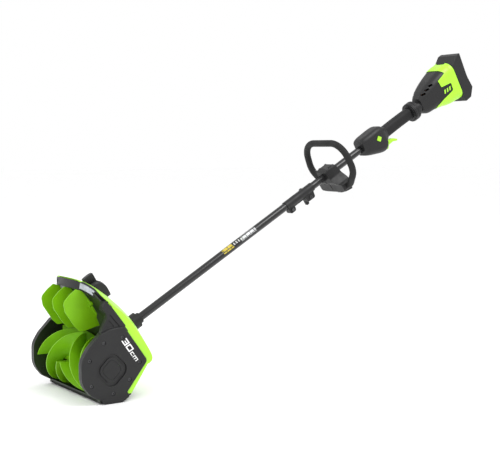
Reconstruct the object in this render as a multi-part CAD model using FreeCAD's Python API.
import FreeCAD, Part
import math
import os
from FreeCAD import Vector

# ---------------------------------------------------------------------------
# Cordless snow shovel, in millimetres.
# +X is the operator's left, the side with the drive belt, +Y points back to the
# operator, +Z is up.  The origin is on the ground below the auger axis.
# Most sub-parts lie along the shaft, so they are made in a shaft frame:
#   x  the same as +X
#   s  distance from the auger axis up the shaft
#   n  height above the shaft axis, square to it
# and then tilted into place by on_shaft().
# ---------------------------------------------------------------------------

# Head
SHAFT_PITCH = 30.53          # degrees between the shaft and the ground
AUGER_HEIGHT = 93.0          # auger axis above the ground
AUGER_RADIUS = 80.0
TUNNEL_RADIUS = 85.0         # inside of the housing around the auger
SKIN = 3.0                   # wall of the moulded shells
WALL_IN = 153.0              # inner face of the side walls, each side of centre
WALL_OUT = 156.0
FACE_X = 165.0               # outer side face of the green housing
COVER_X = 173.0              # outer face of the side covers
DISCHARGE_S = 80.0           # flat wall behind the vanes

# Auger and its drive
BLADES_PER_SIDE = 4
BLADE_PITCH = 270.0
BLADE_THICK = 3.6
HUB_RADIUS = 17.0
BLADE_FRONT_X = 79.0         # where a blade crosses the front of the auger
BLADE_START_X = 10.0
BLADE_END_X = 146.0
AXLE_RADIUS = 7.0
RUNNING = 0.06               # radial clearance of a shaft in its bearing
BIG_PULLEY = 36.0
SMALL_PULLEY = 9.0
BELT_THICK = 2.5
BELT_GAP = 0.25
CROSS_S = 106.0              # cross shaft, along the drive shaft
CROSS_RADIUS = 5.0
BEVEL_RADIUS = 13.5
BEVEL_TEETH = 16
DRIVE_RADIUS = 4.0
AXLE_BEARING = 13.0          # outer radius of the bearing on the auger axle
CROSS_BEARING = 9.0
BELT_ROOM_X = 162.5          # the belt's recess reaches out to here
PULLEY_X0 = 156.7
PULLEY_X1 = 161.7

# Side covers and skids
CHEEK_X = 168.0
SKID_TOP = 12.0

# Vanes
VANE_X = 75.0
VANE_PIN = 4.0
VANE_PIVOT_N = 155.0
VANE_THICK = 3.0
CRANK = 22.0                 # vane pivot to tie bar

# Shaft
TUBE_RADIUS = 12.5
TUBE_BORE = 10.8
TUBE_START = 132.0
SPLIT_S = 885.0
TUBE_END = 1240.0
BUSH_STATIONS = (260.0, 620.0, 960.0, 1200.0)

# ---------------------------------------------------------------------------
# Shape helpers
# ---------------------------------------------------------------------------
def box(x0, x1, y0, y1, z0, z1):
    return Part.makeBox(x1 - x0, y1 - y0, z1 - z0, Vector(x0, y0, z0))


def rod(radius, start, end):
    return Part.makeCylinder(radius, (end - start).Length, start, end - start)


def pipe(outer, inner, start, end):
    return rod(outer, start, end).cut(rod(inner, start, end))


def rounded_wire(corners, place):
    """Closed wire through (a, b, radius) corners; place turns (a, b) into a 3-D point."""
    points = [Vector(a, b, 0) for a, b, _ in corners]
    trimmed = []
    for i, (_, _, radius) in enumerate(corners):
        here = points[i]
        back = (points[i - 1] - here).normalize()
        ahead = (points[(i + 1) % len(points)] - here).normalize()
        half = back.getAngle(ahead) / 2
        if radius == 0:
            trimmed.append((here, None, here))
            continue
        reach = radius / math.tan(half)
        middle = here + (back + ahead).normalize() * (radius / math.sin(half) - radius)
        trimmed.append((here + back * reach, middle, here + ahead * reach))
    edges = []
    for i, (enter, middle, leave) in enumerate(trimmed):
        if middle is not None:
            edges.append(Part.Arc(*[place(p.x, p.y) for p in (enter, middle, leave)]).toShape())
        following = trimmed[(i + 1) % len(trimmed)][0]
        if (following - leave).Length > 1e-4:
            edges.append(Part.LineSegment(place(leave.x, leave.y), place(following.x, following.y)).toShape())
    return Part.Wire(edges)


def side_plate(corners, x0, x1):
    """Outline of (y or s, z or n, radius) corners, extruded along X."""
    face = Part.Face(rounded_wire(corners, lambda a, b: Vector(x0, a, b)))
    return face.extrude(Vector(x1 - x0, 0, 0))


def top_plate(corners, n0, n1):
    """Outline of (x, s, radius) corners, extruded upward."""
    face = Part.Face(rounded_wire(corners, lambda a, b: Vector(a, b, n0)))
    return face.extrude(Vector(0, 0, n1 - n0))


def lofted(sections, inset=0.0):
    """Solid through rounded sections (s, low, high, half width, radius) across the shaft."""
    wires = []
    for s, low, high, half, radius in sections:
        a, b0, b1 = half - inset, low + inset, high - inset
        corner = max(radius - inset, 1.0)
        corners = [(a, b0, corner), (a, b1, corner), (-a, b1, corner), (-a, b0, corner)]
        wires.append(rounded_wire(corners, lambda p, q, s=s: Vector(p, s, q)))
    return Part.makeLoft(wires, True, False)


def ring(inner, outer, s0, s1, n=0.0, x=0.0):
    return pipe(outer, inner, Vector(x, s0, n), Vector(x, s1, n))


def on_shaft(shape):
    shape.rotate(Vector(0, 0, 0), Vector(1, 0, 0), SHAFT_PITCH)
    shape.translate(Vector(0, 0, AUGER_HEIGHT))
    return shape


def mirrored(shape):
    return shape.mirror(Vector(0, 0, 0), Vector(1, 0, 0))


def both_sides(shape):
    return shape.fuse(mirrored(shape))


def screw(start, direction, head=4.2, shank=2.0, length=12.0, head_height=3.0):
    """Hex-socket screw with its head's outer face at start, pointing along direction."""
    step = Vector(*direction).normalize()
    body = rod(head, start, start + step * head_height)
    body = body.fuse(rod(shank, start + step * (head_height - 0.5), start + step * length))
    return body.cut(rod(1.9, start - step * 0.1, start + step * 1.8))


PARTS = {}


def keep(name, shape):
    PARTS[name] = shape


# ---------------------------------------------------------------------------
# Housing of the head, in the world frame
# ---------------------------------------------------------------------------
LIP_STATIONS = (0.0, 40.0, 80.0, 110.0, 135.0, 152.0, FACE_X)


def lip_point(x):
    """Front edge of the hood: an arch that drops and sweeps back towards its corners."""
    u = abs(x) / 100
    return (-54.7 + 15.6 * u ** 2 + 2.45 * u ** 4, 334.7 - 1.75 * u ** 2 - 8.36 * u ** 4)


SIDE_CROWN = ((116, 96), (131, 112), (126, 128), (113, 149), (88, 186), (58, 226), (30, 254))
MID_CROWN = ((136, 96), (157, 114), (160, 135), (152, 163), (123, 212), (74, 263), (16, 308))


def crown_points(x, inset=0.0):
    """Rear corner, crowned back and lip of the hood at one station across it."""
    swell = 1 - (abs(x) / FACE_X) ** 1.7
    line = [(61, 15)]
    for (y0, z0), (y1, z1) in zip(SIDE_CROWN, MID_CROWN):
        line.append((y0 + (y1 - y0) * swell, z0 + (z1 - z0) * swell))
    line.append(lip_point(x))
    moved = []
    for i, (y, z) in enumerate(line):
        before = line[max(i - 1, 0)]
        after = line[min(i + 1, len(line) - 1)]
        run = Vector(after[0] - before[0], after[1] - before[1], 0).normalize()
        moved.append(Vector(x, y - run.y * inset, z + run.x * inset))
    return moved


def hood_solid(half_width, inset):
    wires = []
    for station in sorted({s for x in LIP_STATIONS for s in (x, -x)}):
        x = station * half_width / FACE_X
        crown = crown_points(x, inset)
        front_foot = Vector(x, -34, 5)
        rear_foot = crown[0]
        lip = crown[-1]
        curve = Part.BSplineCurve()
        curve.interpolate(crown[1:])
        wires.append(Part.Wire([
            Part.LineSegment(front_foot, rear_foot).toShape(),
            Part.LineSegment(rear_foot, crown[1]).toShape(),
            curve.toShape(),
            Part.LineSegment(lip, front_foot).toShape(),
        ]))
    return Part.makeLoft(wires, True, False)


COVER_OUTLINE = [
    (-22, 2, 4), (31, 2, 6), (56, 14, 3), (49, 27, 2), (112, 108, 12), (41, 208, 10),
    (17, 208, 30), (-8, 204, 30), (-32, 195, 12), (-70, 156, 40), (-89, 125, 50),
    (-89, 62, 60), (-62, 28, 30), (-32, 12, 6),
]
CHEEK_OUTLINE = [
    (-31, 190, 0), (-25, 208, 20), (-14, 230, 10), (-10, 244, 6), (-25, 266, 6), (-15, 282, 3), (1, 269, 4),
    (46, 211, 2), (40, 204, 0), (20, 200, 0),
]


def cut_tunnel(solid, grown, x_half):
    """Clear the space around the auger and up the flat discharge wall, open to the front."""
    reach = TUNNEL_RADIUS + grown
    wall_s = DISCHARGE_S + grown
    foot_n = math.sqrt(reach ** 2 - wall_s ** 2)
    drum = rod(reach, Vector(-x_half, 0, 0), Vector(x_half, 0, 0))
    throat = side_plate([(-260, -10, 0), (0, -10, 0), (0, foot_n, 0), (wall_s, foot_n, 0),
                         (wall_s, 330, 0), (-260, 330, 0)], -x_half, x_half)
    return solid.cut(on_shaft(drum)).cut(on_shaft(throat))


def belt_outline(extra):
    """Path round both pulleys, grown by extra, as corners in the shaft frame."""
    big = BIG_PULLEY + extra
    small = SMALL_PULLEY + extra
    lean = math.asin((big - small) / CROSS_S)
    c, d = math.cos(lean), math.sin(lean)
    big_up, big_low = (big * d, big * c), (big * d, -big * c)
    small_up = (CROSS_S + small * d, small * c)
    small_low = (CROSS_S + small * d, -small * c)
    return big_up, big_low, small_up, small_low, big, small


def belt_blank(extra, x0, x1):
    big_up, big_low, small_up, small_low, big, small = belt_outline(extra)

    def at(point):
        return Vector(x0, point[0], point[1])

    wire = Part.Wire([
        Part.LineSegment(at(big_up), at(small_up)).toShape(),
        Part.Arc(at(small_up), Vector(x0, CROSS_S + small, 0), at(small_low)).toShape(),
        Part.LineSegment(at(small_low), at(big_low)).toShape(),
        Part.Arc(at(big_low), Vector(x0, -big, 0), at(big_up)).toShape(),
    ])
    return on_shaft(Part.Face(wire).extrude(Vector(x1 - x0, 0, 0)))


def make_hood():
    shell = hood_solid(FACE_X, 0)
    rear_room = cut_tunnel(hood_solid(WALL_IN, SKIN), SKIN, WALL_IN + 20)
    shell = cut_tunnel(shell.cut(rear_room), 0.0, WALL_IN)
    wall = side_plate(COVER_OUTLINE, WALL_IN, WALL_OUT)
    cheek = side_plate(CHEEK_OUTLINE, WALL_IN, WALL_OUT)
    shell = shell.fuse(both_sides(wall)).fuse(both_sides(cheek))
    shell = shell.cut(both_sides(side_plate(COVER_OUTLINE, WALL_OUT, 180)))
    shell = shell.cut(both_sides(side_plate(CHEEK_OUTLINE, WALL_OUT, 180)))
    shell = shell.cut(belt_blank(BELT_THICK + 1.6, WALL_OUT, BELT_ROOM_X))
    axle_hole = rod(AXLE_BEARING, Vector(-160, 0, 0), Vector(160, 0, 0))
    cross_hole = rod(CROSS_BEARING, Vector(140, CROSS_S, 0), Vector(160, CROSS_S, 0))
    tube_hole = rod(TUBE_RADIUS + 0.05, Vector(0, 140, 0), Vector(0, 260, 0))
    shell = shell.cut(on_shaft(axle_hole.fuse(cross_hole).fuse(tube_hole)))
    for x in (-VANE_X, 0, VANE_X):
        pivot = rod(VANE_PIN + RUNNING, Vector(x, 70, VANE_PIVOT_N), Vector(x, 90, VANE_PIVOT_N))
        shell = shell.cut(on_shaft(pivot))
    shell = shell.cut(on_shaft(pod_block())).cut(on_shaft(lever_swing()))
    shell = shell.cut(cover_screw_holes()).cut(box(-200, 200, -100, 100, -5, 4.6))
    shell = shell.cut(make_scraper()).cut(both_sides(make_skid()))
    shell = shell.cut(make_front_trim()).cut(both_sides(lip_band(LIGHT_STATIONS, LIGHT_CORNERS)))
    return max(shell.Solids, key=lambda solid: solid.Volume)


# ---------------------------------------------------------------------------
# Front trim, lights, covers, skids and scraper, in the world frame
# ---------------------------------------------------------------------------
MOAT_DEPTH = 4.0             # groove round the side cover's raised centre
BAND_STATIONS = (-158, -130, -105, -75, -40, 0, 40, 75, 105, 130, 158)
BAND_CORNERS = ((0.5, 3.8), (8, 7.5), (4, 25), (-3, 26))
LIGHT_STATIONS = (79, 91, 103, 115, 127)
LIGHT_CORNERS = ((-3.4, 5), (3.6, 5), (1.4, 21), (-4.6, 21))
COVER_SCREWS = ((-22, 169), (34, 180), (-65, 124), (87, 106), (55.5, 60.5), (-60, 54.5), (5.5, 27))
SCRAPER_SCREW_X = (-120, -40, 40, 120)
SKID_OUTLINE = [(-30, 12, 0), (-22, 0, 4), (31, 0, 6), (56, 14, 3), (49.5, 26, 2), (38, 12, 2)]
SCRAPER_OUTLINE = [(-31, 13, 0.8), (-34, 12, 0.8), (-27, 0, 2), (38, 0, 4), (52, 9, 1), (50, 11.5, 1),
                   (37, 4, 4), (-23, 4, 2)]


def lip_band(stations, corners):
    """Bar that follows the hood's lip; corners are (back, down) offsets from its edge."""
    wires = []
    for x in stations:
        u = x / 100
        slope = (-3.5 * u - 33.44 * u ** 3) / 100
        side, down = slope / math.hypot(1, slope), 1 / math.hypot(1, slope)
        y, z = lip_point(x)
        loop = [Vector(x + side * drop, y + back, z - down * drop) for back, drop in corners]
        wires.append(Part.makePolygon(loop + [loop[0]]))
    return Part.makeLoft(wires, True, False)


def make_front_trim():
    band = lip_band(BAND_STATIONS, BAND_CORNERS)
    cheek = side_plate(CHEEK_OUTLINE, WALL_OUT, CHEEK_X)
    panel = side_plate([(-19, 209, 2), (-7, 233, 4), (12, 211, 2)], CHEEK_X - 2, 180)
    groove = side_plate([(-4, 243, 0), (-1, 245, 0), (28, 211, 0), (25, 209, 0)], CHEEK_X - 3, 180)
    cheek = cheek.cut(panel).cut(groove)
    link = [(-20, 258, 0), (-10, 244, 0), (4, 262, 0), (2, 272, 0), (-4, 281, 0), (-15, 281, 0)]
    bridge = side_plate(link, 138, WALL_OUT + 1)
    trim = band.multiFuse([both_sides(cheek), both_sides(bridge)])
    trim = trim.cut(both_sides(side_plate(COVER_OUTLINE, 150, 180)))
    return trim.cut(both_sides(lip_band(LIGHT_STATIONS, LIGHT_CORNERS)))


def cover_screw_holes():
    rods = [rod(2.0, Vector(150, y, z), Vector(180, y, z)) for y, z in COVER_SCREWS]
    return both_sides(rods[0].multiFuse(rods[1:]))


def boss_wire(half, radius, x):
    """Rounded square standing on its corner round the auger axis."""
    corners = [(-half, 0, radius), (0, -half, radius), (half, 0, radius), (0, half, radius)]
    return rounded_wire(corners, lambda a, b: Vector(x, a, b + AUGER_HEIGHT))


def make_side_cover():
    solid = side_plate(COVER_OUTLINE, WALL_OUT, COVER_X)
    outline = Part.Face(rounded_wire(COVER_OUTLINE, lambda a, b: Vector(WALL_OUT, a, b)))
    hollow = outline.makeOffset2D(-SKIN).extrude(Vector(COVER_X - SKIN - WALL_OUT, 0, 0))
    hollow = hollow.cut(box(150, 180, -200, 200, -5, SKID_TOP + SKIN))
    rim = [e for e in solid.Edges if e.BoundBox.XMin > COVER_X - 0.01]
    solid = solid.makeChamfer(2.2, rim).cut(hollow)
    posts = [rod(7, Vector(WALL_OUT, y, z), Vector(COVER_X - 1, y, z)) for y, z in COVER_SCREWS]
    solid = solid.multiFuse(posts).cut(box(150, 180, -200, 200, -5, SKID_TOP))
    solid = solid.cut(cover_screw_holes())
    for y, z in COVER_SCREWS:
        solid = solid.cut(rod(5.2, Vector(COVER_X - 4, y, z), Vector(180, y, z)))
    floor_x = COVER_X - MOAT_DEPTH
    for half, radius, x0, x1, add in (
            (60, 28, COVER_X - 7, COVER_X - 2, True), (56, 26, floor_x, COVER_X + 5, False),
            (43, 20, floor_x, COVER_X - 0.8, True), (34, 15, COVER_X - 1.8, COVER_X + 5, False),
            (31, 13, COVER_X - 1.8, COVER_X - 0.6, True)):
        layer = Part.Face(boss_wire(half, radius, x0)).extrude(Vector(x1 - x0, 0, 0))
        solid = solid.fuse(layer) if add else solid.cut(layer)
    return solid.cut(belt_blank(BELT_THICK + 1.6, 150, 163))


def make_cover_screws():
    screws = [screw(Vector(COVER_X - 2.2, y, z), (-1, 0, 0), 4.2, 1.95, 16, 1.8) for y, z in COVER_SCREWS]
    return Part.makeCompound(screws + [mirrored(s) for s in screws])


def make_skid():
    shoe = side_plate(SKID_OUTLINE, WALL_IN, COVER_X)
    return shoe.cut(box(150, 180, -100, 100, SKID_TOP, 60)).cut(box(150, WALL_OUT + 0.1, -100, 100, 4.6, 60))


def make_scraper():
    blade = side_plate(SCRAPER_OUTLINE, -WALL_IN + 0.2, WALL_IN - 0.2)
    for x in SCRAPER_SCREW_X:
        blade = blade.cut(rod(2.5, Vector(x, 30, -1), Vector(x, 30, 6)))
        blade = blade.cut(rod(5, Vector(x, 30, -1), Vector(x, 30, 2)))
    return blade


# ---------------------------------------------------------------------------
# Drive in the head, in the shaft frame
# ---------------------------------------------------------------------------
def make_gearbox():
    case = box(-26, 26, 90, 134, -20, 20)
    case = case.cut(box(-22, 22, 91.6, 128, -16.5, 16.5))
    case = case.cut(rod(CROSS_BEARING, Vector(10, CROSS_S, 0), Vector(30, CROSS_S, 0)))
    case = case.cut(rod(CROSS_BEARING, Vector(0, 120, 0), Vector(0, 150, 0)))
    socket = ring(TUBE_RADIUS + 0.05, TUBE_RADIUS + 4, 134, 152)
    return case.fuse(socket)


def make_bearings():
    rings = [ring(DRIVE_RADIUS + RUNNING, CROSS_BEARING, 128, 133)]
    for x in (21, 151):
        ends = Vector(x, CROSS_S, 0), Vector(x + 5, CROSS_S, 0)
        rings.append(pipe(CROSS_BEARING, CROSS_RADIUS + RUNNING, *ends))
    for x in (150.2, -156.2):
        rings.append(pipe(AXLE_BEARING, AXLE_RADIUS + RUNNING, Vector(x, 0, 0), Vector(x + 6, 0, 0)))
    return Part.makeCompound(rings)


def bevel_gear(turn):
    """Mitre gear with its apex at the origin and its shaft along +X."""
    inner, outer, dig, rise = 8.5, BEVEL_RADIUS, 1.5, 1.1
    gear = Part.makeCone(inner - dig, outer - dig, outer - inner, Vector(inner, 0, 0), Vector(1, 0, 0))
    gear = gear.fuse(Part.makeCone(outer - dig, 9, 3, Vector(outer, 0, 0), Vector(1, 0, 0)))
    quads = []
    for along in (inner, outer):
        scale = along / outer
        root, tip = 1.2 * scale, 0.7 * scale
        low, high = along - (dig + 0.6) * scale, along + rise * scale * 0.5
        ahead = along - rise * scale * 0.5
        quads.append(Part.makePolygon([
            Vector(along, -root, low), Vector(along, root, low), Vector(ahead, tip, high),
            Vector(ahead, -tip, high), Vector(along, -root, low)]))
    tooth = Part.makeLoft(quads, True, True)
    teeth = []
    for i in range(BEVEL_TEETH):
        copy = tooth.copy()
        copy.rotate(Vector(0, 0, 0), Vector(1, 0, 0), (i + turn) * 360 / BEVEL_TEETH)
        teeth.append(copy)
    return gear.multiFuse(teeth)


def make_bevel_gear():
    gear = bevel_gear(0.0).cut(rod(CROSS_RADIUS, Vector(-1, 0, 0), Vector(40, 0, 0)))
    gear.translate(Vector(0, CROSS_S, 0))
    return gear


def make_drive_pinion():
    gear = bevel_gear(0.5).cut(rod(DRIVE_RADIUS, Vector(-1, 0, 0), Vector(40, 0, 0)))
    gear.rotate(Vector(0, 0, 0), Vector(0, 0, 1), 90)
    gear.translate(Vector(0, CROSS_S, 0))
    return gear


def pulley(radius, bore, s):
    wheel = rod(radius, Vector(PULLEY_X0, s, 0), Vector(PULLEY_X1, s, 0))
    if radius > 2 * bore:
        for i in range(6):
            angle = math.radians(60 * i + 30)
            spot = Vector(0, s + 23 * math.cos(angle), 23 * math.sin(angle))
            wheel = wheel.cut(rod(7, spot + Vector(150, 0, 0), spot + Vector(170, 0, 0)))
    return wheel.cut(rod(bore, Vector(150, s, 0), Vector(170, s, 0)))


def make_belt():
    outer = belt_blank(BELT_GAP + BELT_THICK, PULLEY_X0 + 0.2, PULLEY_X1 - 0.2)
    return outer.cut(belt_blank(BELT_GAP, 150, 170))


def blade_section(angle, sign, start):
    """Rectangle across a blade where it has turned by angle (radians) from the front."""
    x = sign * (BLADE_FRONT_X + BLADE_PITCH * angle / (2 * math.pi))
    turn = start + angle
    out = Vector(0, -math.cos(turn), -math.sin(turn))
    half = BLADE_THICK / 2
    root, rim = out * (HUB_RADIUS - 2), out * AUGER_RADIUS
    left, right = Vector(x - half, 0, 0), Vector(x + half, 0, 0)
    loop = [left + root, right + root, right + rim, left + rim]
    return Part.makePolygon(loop + [loop[0]])


def make_auger():
    """Two sets of opposite-hand blades on a hub, which push the snow to the middle."""
    first = (BLADE_START_X - BLADE_FRONT_X) * 2 * math.pi / BLADE_PITCH
    last = (BLADE_END_X - BLADE_FRONT_X) * 2 * math.pi / BLADE_PITCH
    hub = rod(HUB_RADIUS, Vector(-BLADE_END_X - 2, 0, 0), Vector(BLADE_END_X + 2, 0, 0))
    blades = []
    steps = 10
    for sign in (1, -1):
        for i in range(BLADES_PER_SIDE):
            start = i * 2 * math.pi / BLADES_PER_SIDE
            wires = []
            for k in range(steps + 1):
                angle = first + (last - first) * k / steps
                wires.append(blade_section(angle, sign, start))
            blades.append(Part.makeLoft(wires, True, False))
    auger = hub.multiFuse(blades)
    auger = auger.cut(rod(AXLE_RADIUS, Vector(-200, 0, 0), Vector(200, 0, 0)))
    auger.translate(Vector(0, 0, AUGER_HEIGHT))
    return auger


# ---------------------------------------------------------------------------
# Steering vanes and their linkage, in the shaft frame
# ---------------------------------------------------------------------------
VANE_OUTLINE = [(75, 119, 3), (75.5, 171, 12), (71, 201, 4), (58, 216, 6), (34, 213, 20), (8, 205, 18),
                (-1, 180, 20), (2, 128, 20), (8, 108, 8), (20, 102, 6), (66, 88, 2), (69, 112, 2)]


def make_vane(x):
    blade = side_plate(VANE_OUTLINE, x - VANE_THICK / 2, x + VANE_THICK / 2)
    flange = side_plate([(71, 120, 0), (75.3, 120, 0), (75.3, 172, 0), (71, 172, 0)], x - 4, x + 4)
    boss = rod(6.5, Vector(x, 66, VANE_PIVOT_N), Vector(x, 78.5, VANE_PIVOT_N))
    pin = rod(VANE_PIN, Vector(x, 70, VANE_PIVOT_N), Vector(x, 90 if x else 150, VANE_PIVOT_N))
    crank = box(x - 5, x + 5, 84, 88, VANE_PIVOT_N - CRANK - 4, VANE_PIVOT_N)
    bolt = rod(2.5, Vector(x, 87, VANE_PIVOT_N - CRANK), Vector(x, 93, VANE_PIVOT_N - CRANK))
    return blade.multiFuse([flange, boss, pin, crank, bolt])


def make_tie_bar():
    low = VANE_PIVOT_N - CRANK
    bar = top_plate([(-VANE_X - 8, 88.4, 0), (VANE_X + 8, 88.4, 0), (VANE_X + 8, 91.4, 0),
                     (-VANE_X - 8, 91.4, 0)], low - 6, low + 6)
    for x in (-VANE_X, 0, VANE_X):
        bar = bar.cut(rod(2.5 + RUNNING, Vector(x, 80, low), Vector(x, 100, low)))
    return bar


def pod_block():
    return lofted([(101, 122, 174, 26, 10), (112, 120, 181, 31, 12), (140, 120, 182, 31, 12),
                   (158, 119, 158, 27, 12)])


def lever_swing():
    """Fan that the steering lever sweeps."""
    corners = [(9.8, -7), (37, 54), (0, 64), (-37, 54), (-9.8, -7)]
    points = [Vector(x, 112.5, VANE_PIVOT_N + n) for x, n in corners]
    return Part.Face(Part.makePolygon(points + [points[0]])).extrude(Vector(0, 38, 0))


def make_lever_pod():
    """Black pod over the lever, with a fan-shaped slot for the lever's swing."""
    pod = pod_block()
    pod = pod.cut(lofted([(98, 125, 160, 24, 6), (130, 125, 160, 26, 6), (153, 125, 150, 23, 6)]))
    pod = pod.cut(lever_swing())
    pod = pod.cut(rod(11, Vector(0, 112.5, VANE_PIVOT_N), Vector(0, 150.5, VANE_PIVOT_N)))
    return pod.cut(rod(VANE_PIN + 0.3, Vector(0, 90, VANE_PIVOT_N), Vector(0, 115, VANE_PIVOT_N)))


def make_vane_lever():
    grip = lofted([(115, 160, 201, 8.5, 3), (130, 160, 202.5, 9, 3), (147, 160, 202, 8.5, 3)])
    arm = rod(9, Vector(0, 115, VANE_PIVOT_N), Vector(0, 147, VANE_PIVOT_N))
    lever = grip.fuse(arm)
    for i in range(5):
        s = 118 + 6 * i
        for side in (-1, 1):
            lever = lever.cut(box(side * 9 - 1, side * 9 + 1, s, s + 2.4, 178, 199))
    return lever.cut(rod(VANE_PIN, Vector(0, 100, VANE_PIVOT_N), Vector(0, 160, VANE_PIVOT_N)))


# ---------------------------------------------------------------------------
# Shaft, coupler and drive shafts, in the shaft frame
# ---------------------------------------------------------------------------
LOBES = ((838, -20, 14), (920, -23, 19))


def make_coupler():
    body = rod(TUBE_RADIUS + 2.2, Vector(0, 823, 0), Vector(0, 946, 0))
    web = side_plate([(824, 0, 0), (944, 0, 0), (940, -16, 4), (826, -16, 4)], -8, 8)
    shapes = [web]
    for s, n, size in LOBES:
        lobe = side_plate([(s - size, -4, 0), (s + size, -4, 0), (s + size - 2, n - 9, 7),
                           (s - size + 2, n - 9, 7)], -10, 10)
        shapes.append(lobe)
    body = body.multiFuse(shapes)
    body = body.cut(rod(TUBE_RADIUS + 0.02, Vector(0, 800, 0), Vector(0, 980, 0)))
    body = body.cut(box(-1.2, 1.2, 820, 950, -60, -5))
    for s, n, _ in LOBES:
        body = body.cut(rod(3.1, Vector(-20, s, n), Vector(20, s, n)))
    return body


def make_coupler_bolt():
    s, n, _ = LOBES[0]
    head = rod(5, Vector(10, s, n), Vector(14, s, n)).cut(rod(2.4, Vector(11.5, s, n), Vector(15, s, n)))
    nut = rod(5, Vector(-13.5, s, n), Vector(-10, s, n))
    second = LOBES[1]
    wing_nut = rod(5, Vector(10, second[0], second[1]), Vector(14, second[0], second[1]))
    wing_nut = wing_nut.cut(rod(3.06, Vector(0, second[0], second[1]), Vector(20, second[0], second[1])))
    bolt = head.multiFuse([rod(3, Vector(-13, s, n), Vector(13, s, n)), nut])
    return Part.makeCompound([bolt, wing_nut])


def make_wing_knob():
    s, n, _ = LOBES[1]
    stem = rod(3.04, Vector(-26, s, n), Vector(13, s, n))
    hub = rod(8, Vector(-24, s, n), Vector(-13, s, n))
    wing = side_plate([(s - 6, n - 30, 4), (s + 6, n - 30, 4), (s + 8, n, 0), (s + 6, n + 30, 4),
                       (s - 6, n + 30, 4), (s - 8, n, 0)], -30, -23)
    return stem.multiFuse([hub, wing])


def make_bushes():
    rings = [ring(DRIVE_RADIUS + RUNNING, TUBE_BORE, s, s + 22) for s in BUSH_STATIONS]
    return Part.makeCompound(rings)


# ---------------------------------------------------------------------------
# Assist handle, in the shaft frame
# ---------------------------------------------------------------------------
LOOP_S = 1045.0
LOOP_TILT = 5.0
LOOP_TUBE = 11.0
LOOP_CORNERS = [(-66, -50, 34), (66, -50, 34), (112, 2, 52), (98, 100, 62), (-98, 100, 62), (-112, 2, 52)]


def make_loop():
    wire = rounded_wire(LOOP_CORNERS, lambda a, b: Vector(a, LOOP_S, b))
    start = Vector(0, LOOP_S, -50)
    profile = Part.Wire(Part.Circle(start, Vector(1, 0, 0), LOOP_TUBE).toShape())
    edges = sorted(wire.Edges, key=lambda e: (e.CenterOfMass - start).Length)
    bottom = edges[0]
    left, right = [v.Point for v in bottom.Vertexes]
    if left.x > right.x:
        left, right = right, left
    rest = [e for e in wire.Edges if not e.isSame(bottom)]
    path = Part.Wire(Part.__sortEdges__(
        [Part.LineSegment(start, right).toShape()] + rest + [Part.LineSegment(left, start).toShape()]))
    loop = path.makePipeShell([profile], True, True)
    loop.rotate(Vector(0, LOOP_S, 0), Vector(1, 0, 0), -LOOP_TILT)
    return loop


CLAMP_PROFILE = [
    (-24, 27, 10), (24, 27, 10), (30, -8, 14), (48, -32, 10), (60, -36, 4), (60, -60, 6), (22, -66, 12),
    (-22, -66, 12), (-60, -60, 6), (-60, -36, 4), (-48, -32, 10), (-30, -8, 14),
]
CLAMP_SIDE = [
    (1003, -22, 6), (1003, 20, 8), (1012, 27, 6), (1044, 27, 6), (1050, 20, 5), (1060, -26, 8),
    (1060, -66, 6), (1018, -66, 6), (1014, -34, 8),
]
CLAMP_SCREWS = [(x, s) for x in (-18.5, 18.5) for s in (1016.0, 1042.0)]


def make_clamp(loop):
    """Clamp that slides on the tube and holds the loop's bottom bar on two arms."""
    outline = rounded_wire(CLAMP_PROFILE, lambda a, b: Vector(a, 1000, b))
    clamp = Part.Face(outline).extrude(Vector(0, 64, 0)).common(side_plate(CLAMP_SIDE, -62, 62))
    clamp = clamp.cut(rod(TUBE_RADIUS + RUNNING, Vector(0, 980, 0), Vector(0, 1100, 0)))
    clamp = clamp.cut(loop)
    clamp = clamp.cut(box(-1.5, 1.5, 990, 1080, -80, -5))
    for x, s in CLAMP_SCREWS:
        clamp = clamp.cut(rod(2.6, Vector(x, s, -26), Vector(x, s, 40)))
        clamp = clamp.cut(rod(4.5, Vector(x, s, 23), Vector(x, s, 40)))
    clamp = clamp.cut(rod(3.06, Vector(-40, LEVER_S, LEVER_N), Vector(40, LEVER_S, LEVER_N)))
    return clamp.cut(box(-9.5, 9.5, 1026, 1075, -100, -56))


LEVER_S = 1041.0
LEVER_N = -70.0


def make_clamp_lever():
    blade = side_plate([(1034, -66, 3), (1046, -64, 3), (1062, -76, 8), (1086, -84, 2), (1084, -90, 2),
                        (1058, -86, 10), (1036, -78, 4)], -9, 9)
    pin = rod(3, Vector(-23, LEVER_S, LEVER_N), Vector(23, LEVER_S, LEVER_N))
    return blade.fuse(pin)


# ---------------------------------------------------------------------------
# Control handle, in the shaft frame
# ---------------------------------------------------------------------------
HANDLE_SECTIONS = [(1184, -24, 31, 24, 14), (1198, -31, 35, 29, 17), (1216, -38, 36, 31, 18),
                   (1254, -51, 37, 31, 18), (1272, -51, 36, 30, 18), (1288, -32, 29, 25, 16)]
NECK_SECTIONS = [(1288, -32, 29, 25, 16), (1304, -23, 17.5, 18, 12)]
GRIP_CORE = [(1304, -20.5, 15.5, 15, 12), (1434, -20.5, 15.5, 15, 12)]
GRIP_COVER = [(1304.3, -23, 18, 17.5, 14), (1320, -22.5, 18.5, 17.5, 14), (1432, -22.5, 18.5, 17.5, 14)]
TRIGGER_S = 1276.0
TRIGGER_N = -39.5
TRIGGER_PIN = 2.0
TRIGGER_OUTLINE = [(1271, -45, 4), (1283, -57, 1.5), (1289, -57, 1.5), (1295, -47.5, 8), (1318, -46, 10),
                   (1336, -53.5, 2), (1339, -48, 2), (1322, -36, 10), (1302, -31, 6), (1271, -33, 4)]
BUTTON_S = 1250.0
BUTTON_N = 3.0
BUTTON_HALF = 11.0


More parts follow.
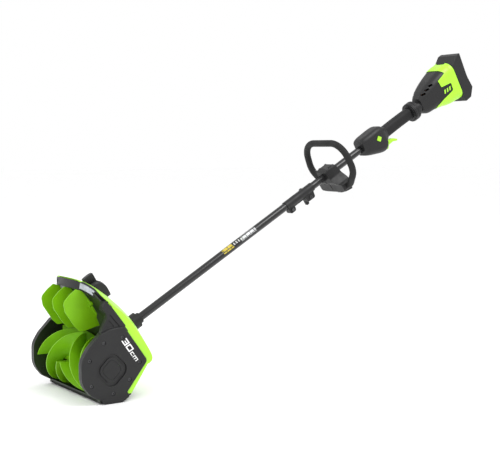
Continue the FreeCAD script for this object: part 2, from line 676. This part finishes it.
def make_handle():
    outer = lofted(HANDLE_SECTIONS).multiFuse([lofted(NECK_SECTIONS), lofted(GRIP_CORE)])
    inner = lofted(HANDLE_SECTIONS, SKIN).cut(box(-50, 50, 1180, 1187, -80, 80))
    inner = inner.cut(box(-50, 50, 1285, 1300, -80, 80))
    core = lofted([(1284, -17, 12, 12, 8), (1440, -17, 12, 12, 8)])
    handle = outer.cut(inner).cut(core)
    collar = rod(TUBE_RADIUS + 3, Vector(0, 1184, 0), Vector(0, TUBE_END - 5, 0)).common(lofted(HANDLE_SECTIONS))
    handle = handle.fuse(collar)
    handle = handle.cut(rod(TUBE_RADIUS + 0.02, Vector(0, 1150, 0), Vector(0, TUBE_END + 0.2, 0)))
    handle = handle.cut(box(-7.6, 7.6, 1264, 1302, -62, -23))
    bosses = both_sides(rod(4.5, Vector(7.8, TRIGGER_S, TRIGGER_N), Vector(30, TRIGGER_S, TRIGGER_N)))
    handle = handle.fuse(bosses.common(lofted(HANDLE_SECTIONS)))
    handle = handle.cut(diamond(BUTTON_HALF + 0.3, 20, 40))
    seat = rod(9, Vector(10, BUTTON_S, BUTTON_N), Vector(13.2, BUTTON_S, BUTTON_N))
    rib = box(10, 13.2, BUTTON_S - 3, BUTTON_S + 3, -49, BUTTON_N)
    handle = handle.fuse(seat.fuse(rib))
    handle = handle.cut(rod(4.3, Vector(5, BUTTON_S, BUTTON_N), Vector(20, BUTTON_S, BUTTON_N)))
    return handle.cut(trigger_axis(TRIGGER_PIN + 0.02, 24.1))


def trigger_axis(radius, half):
    return rod(radius, Vector(-half, TRIGGER_S, TRIGGER_N), Vector(half, TRIGGER_S, TRIGGER_N))


def diamond(half, x0, x1):
    corners = [(BUTTON_S - half, BUTTON_N, 2), (BUTTON_S, BUTTON_N + half, 2),
               (BUTTON_S + half, BUTTON_N, 2), (BUTTON_S, BUTTON_N - half, 2)]
    return side_plate(corners, x0, x1)


def halves(shape):
    right = shape.common(box(0, 300, -2000, 3000, -600, 600))
    left = shape.common(box(-300, 0, -2000, 3000, -600, 600))
    return right, left


def make_trigger():
    lever = side_plate(TRIGGER_OUTLINE, -7, 7)
    return lever.cut(trigger_axis(TRIGGER_PIN + RUNNING, 20))


def make_lock_button():
    cap = diamond(BUTTON_HALF, 25, 33)
    stem = rod(4, Vector(12, BUTTON_S, BUTTON_N), Vector(26, BUTTON_S, BUTTON_N))
    return cap.fuse(stem)


def coil(radius, wire, start, step, turns):
    """Spring drawn as closed turns, evenly spaced along step."""
    return Part.makeCompound([
        Part.makeTorus(radius, wire, start + step * i, step) for i in range(turns)])


# ---------------------------------------------------------------------------
# Powerhead, in the shaft frame
# ---------------------------------------------------------------------------
BODY_SECTIONS = [(1484, -24, 27, 21, 16), (1500, -39, 38, 30, 22), (1522, -41, 48, 36, 25),
                 (1561, -46, 60.5, 42.5, 28), (1600, -56, 70, 47, 30), (1640, -60, 73, 48.5, 30)]
NECK_END = 1476.0            # the narrow neck runs from the round flange to the motor housing
VENT_SLOTS = ((1497, 35), (1516, 42.5), (1535, 49))
BAND_PROFILE = [(1652, 120, 0), (1598, 120, 0), (1603, 72, 3), (1612, 57, 3), (1572, 46, 3), (1575, 21, 3),
                (1620, 15, 6), (1617, -13, 6), (1566, -22, 6), (1537, -33, 6), (1535, -90, 0), (1652, -90, 0)]
BAND_REAR = [(1640, -60, 73, 48.5, 30), (1656, -61, 74, 49, 30)]
BATTERY_OUTLINE = [(1657, 62, 4), (1691, 84, 3), (1710, 84, 3), (1705, -4, 60), (1711, -50, 4),
                   (1688, -78, 5), (1657, -80, 5)]
BATTERY_HALF = 46.0
LATCH_PUSH = (-0.773, 0.635)  # the way the battery's button is pressed


def make_body():
    outer = lofted(BODY_SECTIONS)
    inner = lofted(BODY_SECTIONS, SKIN).cut(box(-60, 60, 1470, 1488, -80, 80))
    neck = ring(0.1, 20, NECK_END, 1490, -3)
    body = outer.cut(inner).fuse(neck)
    body = body.cut(rod(DRIVE_RADIUS + 1.5, Vector(0, 1470, 0), Vector(0, 1500, 0)))
    for start, height in VENT_SLOTS:
        body = body.cut(both_sides(box(16, 60, start, start + 15, height - 6, height)))
    return body


def make_green_band():
    wrap = lofted(BODY_SECTIONS, -1.8).cut(lofted(BODY_SECTIONS))
    wrap = wrap.fuse(lofted(BAND_REAR, -1.8).cut(lofted(BAND_REAR)))
    wrap = wrap.cut(box(-20.5, 20.5, 1644, 1660, 0, 120))
    return wrap.common(side_plate(BAND_PROFILE, -80, 80))


def make_dock():
    dock = lofted([(1641, -56, 69, 44.5, 26), (1656.6, -58, 70, 45, 26)])
    slot = box(-20, 20, 1644.5, 1652.3, -42, 120).fuse(box(-14, 14, 1652, 1660, -42, 120))
    return dock.cut(slot)


def make_battery():
    case = side_plate(BATTERY_OUTLINE, -BATTERY_HALF, BATTERY_HALF)
    case = case.makeChamfer(2.4, [e for e in case.Edges if abs(abs(e.CenterOfMass.x) - BATTERY_HALF) < 0.01
                                and e.CenterOfMass.y > 1670])
    room = side_plate([(1661, 58, 2), (1692, 78, 2), (1700, 78, 2), (1700, -44, 2), (1680, -70, 2),
                       (1661, -74, 2)], -BATTERY_HALF + 3.5, BATTERY_HALF - 3.5)
    rail = box(-19.6, 19.6, 1645, 1652, -41.6, 58).fuse(box(-13.6, 13.6, 1651, 1658, -41.6, 58))
    case = case.cut(room).fuse(rail)
    return case.cut(latch_block(0.4, 11.0))


def latch_block(grow, depth):
    """Ribbed button on the lower rear bevel of the battery."""
    along = Vector(0, -LATCH_PUSH[1], LATCH_PUSH[0])
    inward = Vector(0, LATCH_PUSH[0], LATCH_PUSH[1])
    centre = Vector(0, 1699.5, -64) + inward * 2.2
    half = 11 + grow
    corners = [centre + along * half - inward * 1, centre - along * half - inward * 1,
               centre - along * half + inward * depth, centre + along * half + inward * depth]
    wire = Part.makePolygon([c + Vector(-18 - grow, 0, 0) for c in corners + [corners[0]]])
    return Part.Face(wire).extrude(Vector(36 + 2 * grow, 0, 0))


def make_latch():
    return latch_block(0.0, 5.5)


def make_cells():
    cells = []
    for s in (1672.0, 1689.0):
        for i in range(5):
            n = -44 + 23 * i + (11.5 if s > 1680 else 0)
            cells.append(rod(9.2, Vector(-35, s, n), Vector(35, s, n)))
    return Part.makeCompound(cells)


def make_fan():
    hub = ring(DRIVE_RADIUS, 12, 1564, 1574)
    plate = ring(DRIVE_RADIUS, 27, 1564, 1565.5)
    fins = []
    for i in range(9):
        fin = box(-0.8, 0.8, 1565, 1573, 10, 27)
        fin.rotate(Vector(0, 0, 0), Vector(0, 1, 0), i * 40)
        fins.append(fin)
    return hub.multiFuse([plate] + fins)


# ---------------------------------------------------------------------------
# Build
# ---------------------------------------------------------------------------
def build():
    crown = hood_solid(FACE_X, 0)
    keep("hood_shell", make_hood())
    keep("front_trim", make_front_trim())
    cover = make_side_cover()
    keep("side_cover_right", cover)
    keep("side_cover_left", mirrored(cover))
    keep("cover_screws", make_cover_screws())
    keep("skid_shoes", both_sides(make_skid()))
    keep("scraper_blade", make_scraper())
    keep("scraper_screws", Part.makeCompound(
        [screw(Vector(x, 30, 0.4), (0, 0, 1), 4.5, 2.4, 4, 1.5) for x in SCRAPER_SCREW_X]))
    lens = lip_band(LIGHT_STATIONS, LIGHT_CORNERS)
    keep("headlight_right", lens)
    keep("headlight_left", mirrored(lens))

    keep("gearbox_housing", on_shaft(make_gearbox()))
    keep("drive_bearings", on_shaft(make_bearings()))
    keep("drive_pinion", on_shaft(make_drive_pinion()))
    keep("bevel_gear", on_shaft(make_bevel_gear()))
    keep("cross_shaft", on_shaft(rod(CROSS_RADIUS, Vector(8, CROSS_S, 0), Vector(162, CROSS_S, 0))))
    keep("small_pulley", on_shaft(pulley(SMALL_PULLEY, CROSS_RADIUS, CROSS_S)))
    keep("auger_pulley", on_shaft(pulley(BIG_PULLEY, AXLE_RADIUS, 0)))
    keep("drive_belt", make_belt())
    keep("auger_axle", on_shaft(rod(AXLE_RADIUS, Vector(-163, 0, 0), Vector(164, 0, 0))))
    keep("auger", make_auger())

    for name, x in (("left", -VANE_X), ("centre", 0), ("right", VANE_X)):
        keep("vane_" + name, on_shaft(make_vane(x)))
    keep("vane_tie_bar", on_shaft(make_tie_bar()))
    keep("lever_pod", on_shaft(make_lever_pod()))
    keep("vane_lever", on_shaft(make_vane_lever()))

    collar = ring(TUBE_RADIUS, 24, 168, 199).fuse(ring(TUBE_RADIUS, 17, 199, 210))
    keep("shaft_collar", on_shaft(collar).cut(crown))
    keep("lower_tube", on_shaft(ring(TUBE_BORE, TUBE_RADIUS, TUBE_START + 2.2, SPLIT_S)))
    keep("upper_tube", on_shaft(ring(TUBE_BORE, TUBE_RADIUS, SPLIT_S, TUBE_END)))
    keep("shaft_bushes", on_shaft(make_bushes()))
    keep("lower_drive_shaft", on_shaft(rod(DRIVE_RADIUS, Vector(0, 115, 0), Vector(0, SPLIT_S, 0))))
    keep("upper_drive_shaft", on_shaft(rod(DRIVE_RADIUS, Vector(0, SPLIT_S, 0), Vector(0, 1577, 0))))
    keep("shaft_socket", on_shaft(ring(DRIVE_RADIUS, 8, SPLIT_S - 18, SPLIT_S + 18)))
    keep("coupler_sleeve", on_shaft(make_coupler()))
    keep("coupler_bolts", on_shaft(make_coupler_bolt()))
    keep("wing_knob", on_shaft(make_wing_knob()))

    loop = make_loop()
    keep("loop_handle", on_shaft(loop.copy()))
    keep("handle_clamp", on_shaft(make_clamp(loop)))
    keep("clamp_screws", on_shaft(Part.makeCompound(
        [screw(Vector(x, s, 26.5), (0, 0, -1), 4.3, 2.5, 50, 3.2) for x, s in CLAMP_SCREWS])))
    keep("clamp_lever", on_shaft(make_clamp_lever()))

    right, left = halves(make_handle())
    keep("handle_right", on_shaft(right))
    keep("handle_left", on_shaft(left))
    keep("grip_sleeve", on_shaft(lofted(GRIP_COVER).cut(lofted(
        [(1300, -20.6, 15.6, 15.1, 12), (1440, -20.6, 15.6, 15.1, 12)]))))
    keep("trigger", on_shaft(make_trigger()))
    keep("trigger_pin", on_shaft(trigger_axis(TRIGGER_PIN, 24)))
    keep("trigger_switch", on_shaft(box(-6, 6, 1238, 1262, -41, -24)))
    keep("lock_button", on_shaft(make_lock_button()))
    keep("lock_spring", on_shaft(coil(5.5, 0.6, Vector(13.9, BUTTON_S, BUTTON_N), Vector(1.9, 0, 0), 4)))
    flange = ring(0.1, 33, 1437, 1461, -3).multiFuse([
        ring(0.1, 29, 1434, 1464, -3), ring(0.1, 20, 1464, NECK_END, -3)])
    keep("grip_flange", on_shaft(flange.cut(rod(6, Vector(0, 1430, 0), Vector(0, 1480, 0)))))

    right, left = halves(make_body())
    keep("motor_housing_right", on_shaft(right))
    keep("motor_housing_left", on_shaft(left))
    keep("green_band", on_shaft(make_green_band()))
    keep("motor_stator", on_shaft(ring(19.5, 28, 1524, 1560)))
    keep("motor_rotor", on_shaft(ring(DRIVE_RADIUS, 18.8, 1526, 1558)))
    keep("cooling_fan", on_shaft(make_fan()))
    keep("controller", on_shaft(box(-32, 32, 1582, 1636, -6, 4)))
    keep("battery_dock", on_shaft(make_dock()))
    keep("battery_case", on_shaft(make_battery()))
    keep("battery_cells", on_shaft(make_cells()))
    keep("battery_latch", on_shaft(make_latch()))


os.makedirs("parts", exist_ok=True)
build()
for name, shape in PARTS.items():
    shape.exportStep("parts/%s.step" % name)
    solids = shape.Solids
    size = shape.BoundBox
    print("%-20s %s solids %d  %.0f mm3  %.0f x %.0f x %.0f" % (
        name, "ok" if shape.isValid() else "INVALID", len(solids), shape.Volume,
        size.XLength, size.YLength, size.ZLength))
print(len(PARTS), "nodes")
